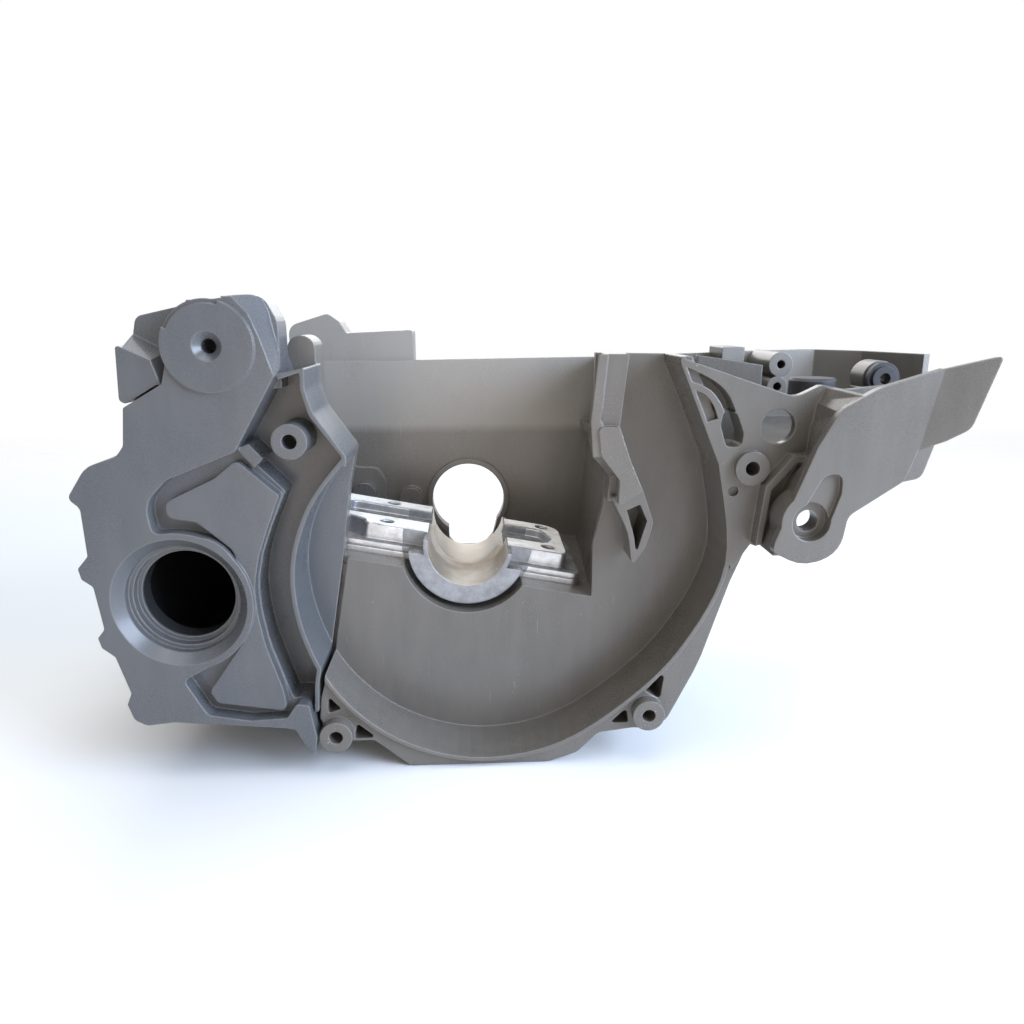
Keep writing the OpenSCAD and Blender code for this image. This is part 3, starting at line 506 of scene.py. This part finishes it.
@dataclass(frozen=True)
class PlatedSteel(Finish):
    """Turned steel, zinc plated: bright, with the thread rolled into the free end.

    Attributes:
        thread_from_mm: where the thread begins along Y.
        pitch_mm: distance from thread to thread.
        dirt_mm: width of the dirty patches.
    """

    thread_from_mm: float
    pitch_mm: float
    dirt_mm: float = 3.0

    def surface(self, add: Callable[..., Socket], place: Socket) -> Socket:
        """Build the nodes of the surface.

        Args:
            add: add_node, held to the material's tree.
            place: coordinates of the object.

        Returns:
            The output of the surface shader.
        """
        dirt = add("TexNoise", Vector=place, Scale=noise_scale(self.dirt_mm), Detail=3.0,
                   Roughness=0.6)
        share = add("MapRange", Value=dirt, From_Min=0.5, From_Max=0.75, To_Max=0.6)
        colour = add("Mix", 2, data_type="RGBA", i0=share, i6=linear("B9BABD"), i7=linear("77736C"))
        rough = add("MapRange", Value=dirt, From_Min=0.3, From_Max=0.7, To_Min=0.24, To_Max=0.42)
        thread = add("TexWave", 1, wave_type="BANDS", bands_direction="Y",
                     wave_profile=Groove.THREAD.value, Vector=place,
                     Scale=band_scale(self.pitch_mm), Distortion=0.0)
        along = add("SeparateXYZ", "Y", Vector=place)
        free = add("Math", operation="GREATER_THAN", i0=along, i1=self.thread_from_mm * MM)
        thread = add("Math", operation="MULTIPLY", i0=thread, i1=free)
        normal = add("Bevel", samples=4, Radius=0.3 * MM)
        normal = add("Bump", Height=thread, Distance=0.6 * MM, Strength=0.9, Normal=normal)
        return add("BsdfPrincipled", Base_Color=colour, Metallic=0.95, Roughness=rough,
                   Normal=normal)


@dataclass(frozen=True)
class NitrileRubber(Finish):
    """Compression moulded nitrile rubber: near black, matt, with a dusty bloom.

    Attributes:
        bloom_mm: width of the patches of bloom.
        grain_mm: width of the grain, coarser than real grain so that it shows.
    """

    bloom_mm: float = 4.0
    grain_mm: float = 0.3

    def surface(self, add: Callable[..., Socket], place: Socket) -> Socket:
        """Build the nodes of the surface.

        Args:
            add: add_node, held to the material's tree.
            place: coordinates of the object.

        Returns:
            The output of the surface shader.
        """
        bloom = add("TexNoise", Vector=place, Scale=noise_scale(self.bloom_mm), Detail=3.0,
                    Roughness=0.6)
        grain = add("TexNoise", Vector=place, Scale=noise_scale(self.grain_mm), Detail=2.0,
                    Roughness=0.55)
        share = add("MapRange", Value=bloom, From_Min=0.45, From_Max=0.75, To_Max=0.5)
        colour = add("Mix", 2, data_type="RGBA", i0=share, i6=linear("26262A"), i7=linear("4A4A50"))
        rough = add("MapRange", Value=bloom, From_Min=0.3, From_Max=0.7, To_Min=0.42, To_Max=0.6)
        normal = add("Bevel", samples=4, Radius=0.5 * MM)
        normal = add("Bump", Height=grain, Distance=0.02 * MM, Strength=0.4, Normal=normal)
        return add("BsdfPrincipled", Base_Color=colour, Roughness=rough, Normal=normal, IOR=1.52)


@dataclass(frozen=True)
class PaintedBoard(Finish):
    """Matt white painted board, with a painted cool shade at the part and behind it and a painted
    warm shade before it on the right.

    Far from the part the board turns clear, so that it has no edge and no horizon.

    Attributes:
        white: colour of the board.
        cool: colour of the bluish shade.
        warm: colour of the warm shade.
        patch_mm: width of the patches in the bluish shade.
    """

    white: str = "FAF8F4"
    cool: str = "E6EDF2"
    warm: str = "DCD3C6"
    patch_mm: float = 420.0

    def surface(self, add: Callable[..., Socket], place: Socket) -> Socket:
        """Build the nodes of the surface.

        Args:
            add: add_node, held to the material's tree.
            place: coordinates of the object.

        Returns:
            The output of the surface shader.
        """
        across = add("SeparateXYZ", "X", Vector=place)
        along = add("SeparateXYZ", "Y", Vector=place)
        patches = add("TexNoise", Vector=place, Scale=noise_scale(self.patch_mm), Detail=1.0,
                      Roughness=0.55)
        patches = add("MapRange", Value=patches, From_Min=0.4, From_Max=0.6, To_Min=0.5)
        # painted shade on the board: bluish at the part and behind it, warm before it on the right
        cool = add("MapRange", Value=along, From_Min=-0.22, From_Max=0.02)
        cool = add("Math", operation="MULTIPLY", i0=cool, i1=patches)
        right = add("MapRange", Value=across, From_Min=0.0, From_Max=0.3)
        near = add("MapRange", Value=along, From_Min=-0.02, From_Max=-0.2)
        warm = add("Math", operation="MULTIPLY", i0=right, i1=near)
        colour = add("Mix", 2, data_type="RGBA", i0=cool, i6=linear(self.white),
                     i7=linear(self.cool))
        colour = add("Mix", 2, data_type="RGBA", i0=warm, i6=colour, i7=linear(self.warm))
        board = add("BsdfPrincipled", Base_Color=colour, Roughness=0.7)
        behind = add("MapRange", Value=along, From_Min=0.1, From_Max=0.7)
        reach = add("VectorMath", "Value", operation="LENGTH", i0=place)
        around = add("MapRange", Value=reach, From_Min=0.7, From_Max=1.45)
        away = add("Math", operation="MAXIMUM", i0=behind, i1=around)
        return add("MixShader", i0=away, i1=board, i2=add("BsdfTransparent"))


@dataclass
class SubAssembly:
    """Pieces of the part that are dressed together.

    Attributes:
        frame: the loaded frame.
    """

    frame: dict

    def finishes(self) -> dict[str, Finish]:
        """Choose the finish of each piece.

        Returns:
            The finishes by the names of the pieces.
        """
        raise NotImplementedError

    def dress(self) -> dict[str, bpy.types.Material]:
        """Build each finish and put it in every slot of its piece.

        Returns:
            The materials by the names of the pieces.
        """
        worn = {name: finish.build() for name, finish in self.finishes().items()}
        for name, material in worn.items():
            piece = self.frame["nodes"][name]
            if not piece.material_slots:
                piece.data.materials.append(material)
            for slot in piece.material_slots:
                slot.material = material
        return worn


@dataclass
class PlasticCase(SubAssembly):
    """The welded plastic case: the main housing and the front half of the oil tank.

    Attributes:
        front_wall_mm: from the case's front face to the middle of the tank's front wall.
        back_wall_mm: from the case's front face to the middle of the tank's back wall.
        bay_limit_mm: place along X up to which the tank's walls are painted dark, on the side of
            the bay.
        top_limit_mm: height up to which the tank's walls are painted dark.
        belly: plane half way through the wall of the sloping belly.
        nose: plane half way through the wall of the nose.
    """

    front_wall_mm: float = 7.0
    back_wall_mm: float = 103.0
    bay_limit_mm: float = -74.0
    top_limit_mm: float = 30.0
    belly: Plane = Plane((-104.0, 0.0, -49.1), (0.084, 0.0, 0.996))
    nose: Plane = Plane((-116.4, 0.0, 8.0), (0.996, 0.0, 0.08))

    def tank(self) -> tuple[Plane, ...]:
        """List the planes round the space inside the tank, whose walls are painted dark: lubricant
        and painted shade.

        Returns:
            The front and back walls, the limits, the belly and the nose.
        """
        return (Plane((0.0, self.front_wall_mm - CASE_DEPTH_MM, 0.0), (0.0, 1.0, 0.0)),
                Plane((0.0, self.back_wall_mm - CASE_DEPTH_MM, 0.0), (0.0, -1.0, 0.0)),
                Plane((self.bay_limit_mm, 0.0, 0.0), (-1.0, 0.0, 0.0)),
                Plane((0.0, 0.0, self.top_limit_mm), (0.0, 0.0, -1.0)), self.belly, self.nose)

    def finishes(self) -> dict[str, Finish]:
        """Choose the finish of each piece: one plastic, painted darker and bluer on the shell as
        painted cool shade.

        Returns:
            The finishes by the names of the pieces.
        """
        tank = self.tank()
        return {"main_housing": MouldedPolyamide("polyamide_case", tank),
                # the shell's darker, bluer tone is a painted cool shade and bluish reflection
                "oil_tank_shell": MouldedPolyamide("polyamide_tank", tank, "54575B", "5F6265")}


@dataclass
class EnginePan(SubAssembly):
    """The cast engine pan with its half bearing seats, and the sealant on its split face.

    Attributes:
        seat_mm: radius of the bearing seats with a hair over for the mesh's facets.
        face_mm: radius of the blasted casting round them.
    """

    seat_mm: float = 14.52
    face_mm: float = 24.0

    def finishes(self) -> dict[str, Finish]:
        """Choose the finish of each piece.

        Returns:
            The finishes by the names of the pieces.
        """
        return {"engine_pan": DieCastAluminium("die_cast_aluminium", self.seat_mm, self.face_mm),
                "sealant_residue": DriedSealant("silicone_sealant")}


@dataclass
class Fittings(SubAssembly):
    """The guide bar studs, the rubber buffer and the rubber ring.

    Attributes:
        thread_from_mm: where the studs' thread begins outside the clutch side face.
        pitch_mm: pitch of the studs' thread.
    """

    thread_from_mm: float = 6.0
    pitch_mm: float = 1.25

    def finishes(self) -> dict[str, Finish]:
        """Choose the finish of each piece.

        Returns:
            The finishes by the names of the pieces.
        """
        return {"bar_studs": PlatedSteel("plated_steel", self.thread_from_mm, self.pitch_mm),
                "rubber_buffer": NitrileRubber("nitrile_rubber_buffer"),
                "rubber_grommet": NitrileRubber("nitrile_rubber_ring")}


@dataclass(frozen=True)
class Lamp:
    """A square soft light.

    Attributes:
        name: name of the light.
        place: where it hangs, in metres.
        edge: length of its edge in metres.
        watts: its power.
        colour: its sRGB hex colour.
    """

    name: str
    place: Triple
    edge: float
    watts: float
    colour: str = "FFFFFF"

    def hang(self, aim: Triple) -> None:
        """Hang the light so that it looks at a point.

        Args:
            aim: the point in metres.
        """
        lamp = bpy.data.lights.new(self.name, "AREA")
        lamp.size = self.edge
        lamp.energy = self.watts
        lamp.color = linear(self.colour)[:3]
        holder = bpy.data.objects.new(self.name, lamp)
        holder.location = self.place
        ahead = Vector(aim) - Vector(self.place)
        holder.rotation_euler = ahead.to_track_quat("-Z", "Y").to_euler()
        bpy.context.scene.collection.objects.link(holder)


@dataclass
class Studio:
    """White board under the part, soft light round it and lamps on it.

    Attributes:
        ground: height of the part's lowest point in metres.
        sink: how far the board lies under that point.
        board_edge: from the middle of the board to its edges.
        low_light: strength of the surroundings below the horizon.
        high_light: strength of the surroundings above it.
        left_light: share of that strength on the left.
        right_light: share of that strength on the right.
        aim: the point that the lamps look at.
        lamps: the lamps.
    """

    ground: float
    sink: float = 0.2 * MM
    board_edge: float = 1.6
    low_light: float = 0.12
    high_light: float = 0.8
    left_light: float = 0.05
    right_light: float = 1.5
    aim: Triple = (0.02, -0.05, 0.0)
    lamps: tuple[Lamp, ...] = (
        Lamp("window_right", (0.62, -0.42, 0.28), 0.5, 9.5, "D0E2FF"),
        Lamp("ceiling", (0.0, -0.1, 1.1), 1.0, 7.5),
        Lamp("floor_bounce", (-0.02, -0.45, -0.066), 0.3, 0.35, "FFE4C6"),
        Lamp("back", (0.0, 1.0, 0.7), 1.0, 7.0))

    def lay_board(self) -> None:
        """Lay the large pale board that the part stands on."""
        mesh = bpy.data.meshes.new("studio_floor")
        corners = ((-1, -1), (1, -1), (1, 1), (-1, 1))
        places = [(x * self.board_edge, y * self.board_edge, self.ground - self.sink)
                  for x, y in corners]
        mesh.from_pydata(places, [], [(0, 1, 2, 3)])
        floor = bpy.data.objects.new("studio_floor", mesh)
        bpy.context.scene.collection.objects.link(floor)
        mesh.materials.append(PaintedBoard("matt_white_board").build())
        floor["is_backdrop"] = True

    def light_surroundings(self) -> None:
        """Fill the surroundings with soft light, white to the camera and in reflections.

        The diffuse light is weak and warm on the left, strong and cool on the right, and
        blotchy as in a room that has furniture in it.
        """
        world = bpy.data.worlds.new("studio")
        bpy.context.scene.world = world
        world.use_nodes = True
        world.node_tree.nodes.clear()
        add = partial(add_node, world.node_tree)
        ahead = add("TexCoord", "Generated")
        height = add("SeparateXYZ", "Z", Vector=ahead)
        strength = add("MapRange", Value=height, From_Min=-0.03, From_Max=0.12,
                       To_Min=self.low_light, To_Max=self.high_light)
        across = add("SeparateXYZ", "X", Vector=ahead)
        side = add("MapRange", Value=across, From_Min=-0.75, From_Max=0.75)
        share = add("MapRange", Value=side, To_Min=self.left_light, To_Max=self.right_light)
        furniture = add("TexNoise", Vector=ahead, Scale=1.7, Detail=1.0)
        furniture = add("MapRange", Value=furniture, From_Min=0.38, From_Max=0.62, To_Min=0.45,
                        To_Max=1.5)
        share = add("Math", operation="MULTIPLY", i0=share, i1=furniture)
        strength = add("Math", operation="MULTIPLY", i0=strength, i1=share)
        tint = add("Mix", 2, data_type="RGBA", i0=side, i6=linear("EBCFAE"), i7=linear("D2E2F8"))
        glow = add("Background", Color=tint, Strength=strength)
        plain = add("Background", Color=linear("FFFFFF"), Strength=1.0)
        seen = add("LightPath", "Is Camera Ray")
        for kind in ("Is Glossy Ray", "Is Transmission Ray"):
            seen = add("Math", operation="MAXIMUM", i0=seen, i1=add("LightPath", kind))
        add("OutputWorld", Surface=add("MixShader", i0=seen, i1=glow, i2=plain))

    def build(self) -> None:
        """Lay the board, light the part and show colours as they are."""
        self.lay_board()
        self.light_surroundings()
        for lamp in self.lamps:
            lamp.hang(self.aim)
        bpy.context.scene.view_settings.view_transform = "Standard"


@dataclass(frozen=True)
class PhotoCamera:
    """The camera that was fitted to the photograph.

    Attributes:
        place_mm: its place, measured from the crank axis in the plane of the front face.
        down_deg: how far it looks down.
        right_deg: how far it looks to the right.
        focal_px: its focal length in pixels.
        image_px: width of the picture in pixels.
        sensor_mm: width of the sensor.
    """

    place_mm: Triple = (1.780, -235.311, 78.927)
    down_deg: float = 14.3197
    right_deg: float = 3.0650
    focal_px: float = 760.0
    image_px: float = 1024.0
    sensor_mm: float = 36.0

    def build(self) -> None:
        """Set the camera up."""
        down, turn = math.radians(self.down_deg), math.radians(self.right_deg)
        ahead = Vector((math.sin(turn) * math.cos(down), math.cos(turn) * math.cos(down),
                        -math.sin(down)))
        right = Vector((math.cos(turn), -math.sin(turn), 0))
        place = (Vector(self.place_mm) - Vector((0, CASE_DEPTH_MM, 0))) * MM
        columns = (right, right.cross(ahead), -ahead, place)
        data = bpy.data.cameras.new("photo_camera")
        data.sensor_width = self.sensor_mm
        data.lens = self.focal_px / self.image_px * self.sensor_mm
        data.clip_start, data.clip_end = 0.01, 50.0
        camera = bpy.data.objects.new("photo_camera", data)
        camera.matrix_world = Matrix([[column[row] for column in columns] for row in range(3)]
                                     + [[0, 0, 0, 1]])
        bpy.context.scene.collection.objects.link(camera)
        bpy.context.scene.camera = camera


def main() -> None:
    """Load the frame, dress every piece, and set up the studio, with its board at the part's lowest
    point, and the camera.
    """
    logging.basicConfig(level=logging.INFO, format="%(name)s: %(message)s")
    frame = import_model()
    before = [list(corner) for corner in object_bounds()]
    for assembly in (PlasticCase(frame), EnginePan(frame), Fittings(frame)):
        for piece, material in assembly.dress().items():
            log.info("%s takes %s", piece, material.name)
    Studio(ground=before[0][2]).build()
    PhotoCamera().build()


if __name__ == "__main__":
    main()
